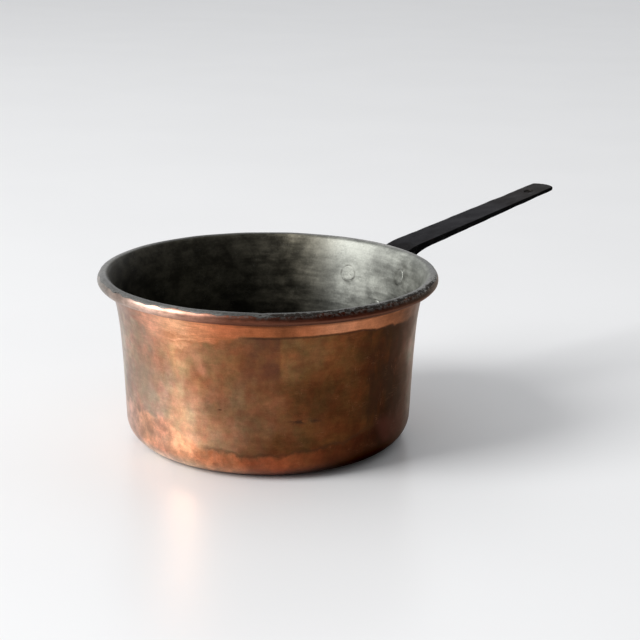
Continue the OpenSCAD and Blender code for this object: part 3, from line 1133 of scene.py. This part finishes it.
def copper_marks(s):
    """The few marks that are this pan's own, as (share, tone)."""
    z, bearing = s.z, s.bearing
    # A dark red stain below the rim, with a straight edge at its right
    stain = s.span(bearing, -13, -4, 3.4, 4.8) * s.span(z, 62, 79, 101, 103)
    stain = stain * s.contrast(s.noise(8, 3, 0.55, offset=29), 0.2, 0.4, 1)
    # A short bright rub at the left, with a slant
    slanted = bearing + (z - 82) * 0.25
    rub = s.bump_shape(slanted, -26, 3.2) * s.span(z, 69, 76, 84, 93)
    rub = rub * s.contrast(s.noise(3.1, 3, 0.6, offset=17), 0.2, 0.4, 1)
    # A thin curved scratch low at the left
    run = s.most((bearing + 42) * (1 / 15), 0)
    curve_z = 25 - s.math("POWER", run, 1.6) * 9
    curve = s.bump_shape(z, curve_z, 0.6) * s.span(bearing, -44, -40, -30, -26)
    # A small dark spot, a smudge drawn out sideways and a grey green patch
    spot = s.bump_shape(bearing, -18, 1.3) * s.bump_shape(z, 50, 1)
    smudge = s.span(bearing, 5, 11, 16, 22) * s.bump_shape(z, 42.5, 2.6)
    smudge = smudge * s.step(s.noise(2.4, 3, 0.6, stretch=(0.5, 0.5, 1), offset=6), 0.38, 0.54)
    green = s.bump_shape(bearing, -54, 12) * s.span(z, 36, 50, 66, 84)
    # Darker upright patches at the right
    upright = s.noise(9, 3, 0.55, stretch=(1, 1, 0.28), offset=37)
    dark = s.span(bearing, 33, 42, 58, 66) * s.contrast(upright, 0.12, 0, 1)
    return [
        (stain * 0.75, (0.11, 0.044, 0.027)),
        (rub * 0.6, (0.62, 0.27, 0.16)),
        (green * 0.5, (0.36, 0.27, 0.19)),
        (dark * 0.6, (0.026, 0.012, 0.007)),
        (curve * 0.5, COPPER_DARK_AND_SHADOW),
        (spot * 0.85, COPPER_DARK_AND_SHADOW),
        (smudge * 0.75, (0.03, 0.018, 0.012)),
    ]


# ---- tin
def add_tin_fields(s):
    """Noises that several functions below use."""
    s.across = s.vector(s.x * 0.16, s.y * 0.16, s.z + s.radius)
    s.cloud = s.noise(30, 4, 0.55, offset=18)
    s.mottle = s.noise(11, 5, 0.6, stretch=(0.7, 0.7, 1))
    s.wipes = s.noise(4.2, 4, 0.6, vector=s.across, offset=7)
    s.speck = s.noise(1.5, 4, 0.68, offset=28)


def tin_wall(s):
    """Tin with painted shade and light: nearly black at the left of the main view, brighter towards the
    handle, darker low down, and with painted shade near the top on the side towards the handle.
    """
    wandering = s.strayed(s.bearing, s.cloud, 26)
    colour = s.tones(wandering, TIN_AND_PAINTED_LIGHT_TONES, (0.98, 1, 0.92))
    warm = s.span(s.bearing, -214, -186, -90, -60)
    colour = s.tinted(colour, warm, (1.14, 1.02, 0.84), (1, 1, 0.98))
    colour = s.toned(colour, s.mottle, 0.2, 0.72, 1.18)
    # Mottle over the painted shade at the left of the main view.
    shaded_left_mottle = s.contrast(s.noise(9, 5, 0.65, stretch=(0.7, 0.7, 1), offset=95), 0.16, 0.62, 1.5)
    shaded_left = s.span(s.bearing, -206, -186, -110, -80)
    colour = s.shade(colour, 1 + shaded_left * (shaded_left_mottle - 1))
    colour = s.toned(colour, s.wipes, 0.22, 0.8, 1.16)
    colour = s.toned(colour, s.speck, 0.22, 0.88, 1.1)
    # Darker low down; on the lit side towards the handle, painted shade near the top.
    colour = s.shade(colour, 1 - s.step(s.z, 84, 54) * 0.45)
    bright_side = s.most(s.step(s.bearing, -190, -214), s.step(s.bearing, 110, 130))
    return s.shade(colour, 1 - s.step(s.z, 88, 108) * bright_side * 0.36)


def pan_floor(s, colour):
    """The floor of the pan, with a stained ring where it meets the wall."""
    tone = s.mix(s.contrast(s.mottle, 0.18, 0, 1), (0.075, 0.075, 0.066), (0.17, 0.17, 0.155))
    colour = s.mix(s.step(s.z, 14, 4), colour, tone)
    stain = s.bump_shape(s.radius, 90, 8) * s.step(s.z, 30, 12)
    return s.mix(stain * s.contrast(s.cloud, 0.15, 0.2, 0.7), colour, (0.085, 0.066, 0.05))


def rivet_ring_shade(s, colour):
    """A dark ring of painted shade round each rivet's head, in the groove round it."""
    ring_shade = 0.0
    for along, height in RIVETS.values():
        x = float(wall_x(height)) - SHEET_T
        place = (x * cos(along / x), x * sin(along / x), height)
        ring_shade = s.most(ring_shade, s.near(place, 6.2, 7.4) * (1 - s.near(place, 4.8, 5.7)))
    ring_shade = ring_shade * s.contrast(s.noise(5, 3, 0.5, offset=91), 0.14, 0.1, 1)
    return s.mix(ring_shade * 0.62, colour, (0.06, 0.058, 0.05))


def tin_lip(s, colour):
    """The lip and the top of the roll: greyer, lighter and darker by bearing with painted light and shade,
    brightest towards the handle as a painted highlight, and worn black along the tin's edge at the front
    right.
    """
    share = s.step(s.bead_angle, 132, 104) * s.step(s.z, WIRE_Z + 0.1, WIRE_Z + 0.8)
    tone = s.tones(s.bearing, LIP_AND_PAINTED_LIGHT_TONES, (1, 0.985, 0.93))
    tone = s.toned(tone, s.wipes, 0.22, 0.8, 1.18)
    colour = s.mix(share, colour, s.toned(tone, s.speck, 0.2, 0.66, 1.22))
    worn_side = s.span(s.bearing, -12, 6, 68, 96)
    worn_side = s.most(worn_side, s.span(s.bearing, -74, -62, -20, -10) * 0.35)
    flecks = s.noise(2.6, 5, 0.75, stretch=(0.8, 0.8, 1), offset=61)
    level = 0.3 + worn_side * s.step(s.bead_angle, 108, 62) * 0.27
    worn = s.step(flecks - level, 0.03, -0.05) * share
    black = s.mix(s.speck, (0.016, 0.013, 0.012), (0.05, 0.036, 0.028))
    return s.mix(worn * 0.92, colour, black), share, worn


def tin_material():
    """Wiped tin, with pits and fine scratches."""
    s = Shader("wiped_tin")
    add_tin_fields(s)
    colour = rivet_ring_shade(s, pan_floor(s, tin_wall(s)))
    colour, lip, worn = tin_lip(s, colour)
    pit = s.step(s.cells(3.4, 3), 0, 0.14, 1, 0) * s.step(s.mottle, 0.46, 0.6)
    colour = s.mix(pit * 0.5, colour, (0.025, 0.023, 0.02))
    scratch = s.most(s.scratches(1.2, (0.1, 0.1, 1), 66, 0.58), s.scratches(1.4, (1, 0.12, 0.3), 87, 0.6))
    s.set("Base Color", s.mix(scratch * 0.1, colour, (0.42, 0.42, 0.4)))
    s.set("Metallic", 1)

    rough = s.contrast(s.mottle, 0.2, 0.46, 0.56) + s.contrast(s.wipes, 0.22, -0.05, 0.05)
    s.set("Roughness", rough + lip * -0.05 + worn * 0.3)

    fine = s.noise(0.9, 3, 0.6, vector=s.across, offset=2)
    normal = s.bump(s.noise(8, 3, 0.5, offset=33), 0.09)
    normal = s.bump(s.wipes + s.speck * 0.5, 0.025, normal)
    normal = s.bump(fine + s.speck * 0.6, 0.01, normal)
    s.set("Normal", s.bump((pit + worn + scratch * 0.5) * -1, 0.05, normal))
    return s.material


# ---- iron
def handle_material():
    """Black forged iron with pits and scratches, browner at its end and darker low down; the bar's sides are
    darkened with painted shade.
    """
    s = Shader("forged_iron")
    cloud = s.noise(30, 4, 0.6)
    grain = s.noise(1.4, 4, 0.65, offset=8)
    drawn = s.noise(2.2, 4, 0.6, stretch=(0.09, 1, 1), offset=23)
    colour = s.mix(s.step(cloud, 0.38, 0.64), (0.03, 0.029, 0.031), (0.016, 0.015, 0.0155))
    colour = s.mix(s.step(drawn, 0.56, 0.76, 0, 0.55), colour, (0.052, 0.051, 0.052))
    rust = s.step(s.noise(11, 5, 0.66, offset=45), 0.6, 0.72) * s.step(grain, 0.4, 0.6)
    colour = s.mix(rust * 0.55, colour, (0.045, 0.025, 0.017))
    pit = s.step(s.cells(2.9, 5), 0, 0.2, 1, 0) * s.step(cloud, 0.42, 0.6)
    colour = s.mix(pit * 0.75, colour, (0.008, 0.007, 0.007))
    # Painted shade on the bar's sides: darker colour below, and dimmer reflections.
    out_share = (s.x - RIM_R) * (1 / (REACH - RIM_R))
    half = BAR_W[0] / 2 + out_share * ((BAR_W[1] - BAR_W[0]) / 2)
    from_edge = s.math("ABSOLUTE", s.y) - half
    side = s.step(from_edge, -0.9, -0.1) * s.step(s.x, RIM_R, RIM_R + 6)
    colour = s.shade(colour, 1 - side * 0.75)
    worn_end = s.step(s.x, REACH - 90, REACH - 20) * (1 - side)
    colour = s.mix(worn_end * 0.5, colour, s.mix(cloud, (0.06, 0.051, 0.043), (0.034, 0.031, 0.028)))
    low_face = s.step(s.z, 100, 84)
    colour = s.mix(low_face * 0.4, colour, (0.012, 0.011, 0.01))
    scratch = s.most(s.scratches(1.1, (0.09, 1, 1), 12, 0.56), s.scratches(1.3, (0.4, 0.12, 1), 52, 0.62))
    colour = s.mix(scratch * 0.5, colour, (0.105, 0.102, 0.1))
    s.set("Base Color", colour)
    s.set("Metallic", 0.85)
    # Dimmer reflections on the bar's sides: painted shade.
    s.set("Specular Tint", s.mix(side, (0.45, 0.45, 0.46), (0.12, 0.12, 0.12)))
    rough = s.step(cloud, 0.3, 0.7, 0.38, 0.5) + (grain - 0.5) * 0.16
    rough = rough + side * 0.3
    s.set("Roughness", rough + s.most(rust, pit) * 0.2)
    normal = s.bump(s.noise(6.5, 3, 0.5, offset=70), 0.12)
    normal = s.bump(grain + drawn * 0.5, 0.022, normal)
    normal = s.bump((pit + scratch * 0.35) * -1, 0.07, normal)
    s.set("Normal", normal)
    return s.material


def wire_material():
    """Drawn iron wire with darker patches."""
    s = Shader("drawn_wire")
    cloud = s.noise(9, 4, 0.6)
    grain = s.noise(0.8, 3, 0.6, offset=4)
    colour = s.mix(s.step(cloud, 0.4, 0.62), (0.16, 0.145, 0.135), (0.085, 0.052, 0.036))
    colour = s.mix(s.step(grain, 0.55, 0.75, 0, 0.4), colour, (0.24, 0.22, 0.21))
    s.set("Base Color", colour)
    s.set("Metallic", 0.9)
    s.set("Roughness", s.step(cloud, 0.3, 0.7, 0.42, 0.62))
    s.set("Normal", s.bump(grain, 0.02))
    return s.material


def rivet_copper_material():
    """Hammered copper heads, with brown patches and dark specks."""
    s = Shader("rivet_copper")
    cloud = s.noise(3.2, 4, 0.6)
    grain = s.noise(0.6, 3, 0.6, offset=4)
    colour = s.mix(s.step(cloud, 0.38, 0.62), (0.52, 0.28, 0.185), (0.2, 0.095, 0.058))
    colour = s.mix(s.step(grain, 0.6, 0.75, 0, 0.5), colour, (0.07, 0.038, 0.028))
    s.set("Base Color", colour)
    s.set("Metallic", 1)
    s.set("Roughness", s.step(cloud, 0.3, 0.7, 0.3, 0.46))
    normal = s.bump(s.noise(2.4, 2, 0.5, offset=19), 0.1)
    s.set("Normal", s.bump(grain, 0.012, normal))
    return s.material


def floor_material():
    """Plain pale paper."""
    s = Shader("pale_paper")
    tooth = s.noise(0.7, 3, 0.6)
    cloud = s.noise(220, 2, 0.5, offset=30)
    s.set("Base Color", s.mix(s.step(cloud, 0.3, 0.7), (0.83, 0.83, 0.83), (0.815, 0.815, 0.815)))
    s.set("Roughness", 0.28)
    s.set("Specular IOR Level", 0.4)
    s.set("Normal", s.bump(tooth, 0.004))
    return s.material


# ---- studio
FLOOR_HALF = 16000.0
FLOOR_DROP = 0.15
FLOOR_CELLS = 8


def make_floor():
    """A wide flat sheet, just under the pan."""
    side = np.linspace(-FLOOR_HALF, FLOOR_HALF, FLOOR_CELLS + 1)
    points = [[x, y, -FLOOR_DROP] for x in side for y in side]
    faces = []
    for i in range(FLOOR_CELLS):
        for j in range(FLOOR_CELLS):
            a = i * (FLOOR_CELLS + 1) + j
            faces.append((a, a + FLOOR_CELLS + 1, a + FLOOR_CELLS + 2, a + 1))
    floor = make_object("floor_sheet", points, faces, [floor_material()], body=None)


# Directions of the main view: to its right, and away from it, along the floor.
VIEW_RIGHT = Vector((0.769, -0.639, 0.0))
VIEW_AWAY = Vector((0.639, 0.769, 0.0))
MIDDLE = Vector((0.0, 0.0, 0.06))

# The room's own light, on the side of the camera and on the far side
ROOM_DARK = 0.17
ROOM_LIGHT = 0.80

# The window's direction from the pan; metres and watts
WINDOW_TOWARD = VIEW_RIGHT * -0.94 + VIEW_AWAY * -0.34 + Vector((0, 0, 0.62))
WINDOW_DISTANCE = 4.5
WINDOW_SIZE = (2.1, 3.2)
WINDOW_WATTS = 230


def make_window():
    """An area light like a tall window: at the left of the main view, a little in front."""
    direction = WINDOW_TOWARD.normalized()
    light = bpy.data.lights.new("window", "AREA")
    light.shape = "RECTANGLE"
    light.size, light.size_y = WINDOW_SIZE
    light.energy = WINDOW_WATTS
    obj = in_scene("window", light)
    obj.location = MIDDLE + direction * WINDOW_DISTANCE
    obj.rotation_mode = "QUATERNION"
    obj.rotation_quaternion = (-direction).to_track_quat("-Z", "Y")
    obj.visible_camera = False


def make_room():
    """Light from all round, stronger from the far side and above."""
    world = bpy.data.worlds.new("studio")
    world.use_nodes = True
    background = world.node_tree.nodes["Background"]
    background.inputs["Color"].default_value = (0.97, 0.98, 1.0, 1.0)
    n = Nodes(world.node_tree)
    far_side = VIEW_AWAY * 0.75 - VIEW_RIGHT * 0.25 + Vector((0, 0, 0.6))
    given = {0: n.node("TexCoord", {}, "Generated"), 1: far_side}
    toward = n.node("VectorMath", given, "Value", operation="DOT_PRODUCT")
    n.put(background.inputs["Strength"], n.step(toward, -0.5, 0.9, ROOM_DARK, ROOM_LIGHT))
    bpy.context.scene.world = world
    bpy.context.scene.view_settings.view_transform = "Standard"


CAMERA_PLACE = Vector((-0.65657, -0.79084, 0.37975))
CAMERA_AIM = Vector((0.03211, -0.01919, 0.08137))
CAMERA_ROLL = radians(0.60)
CAMERA_SENSOR = 36.0
CAMERA_LENS = 84.375


def make_camera():
    """Looks a little down on the pan, with the handle at the back right, and with a slight roll."""
    forward = (CAMERA_AIM - CAMERA_PLACE).normalized()
    right = forward.cross(Vector((0, 0, 1))).normalized()
    down = forward.cross(right)
    across = right * cos(CAMERA_ROLL) - down * sin(CAMERA_ROLL)
    upward = -(right * sin(CAMERA_ROLL) + down * cos(CAMERA_ROLL))
    camera = bpy.data.cameras.new("camera")
    camera.sensor_width = CAMERA_SENSOR
    camera.lens = CAMERA_LENS
    camera.clip_start = 0.01
    camera.clip_end = 100.0
    obj = in_scene("camera", camera)
    turn = Matrix((across, upward, -forward)).transposed().to_4x4()
    obj.matrix_world = Matrix.Translation(CAMERA_PLACE) @ turn
    bpy.context.scene.camera = obj


# ---- build
make_camera()
materials = {
    "copper": copper_material(),
    "tin": tin_material(),
    "iron": handle_material(),
    "wire": wire_material(),
    "rivet_copper": rivet_copper_material(),
}
make_pan(materials)
make_rim_wire(materials)
make_handle(materials)
for index, (rivet_name, rivet_place) in enumerate(RIVETS.items()):
    make_rivet(rivet_name, rivet_place, SEED + 20 + index, materials)
make_floor()
make_window()
make_room()
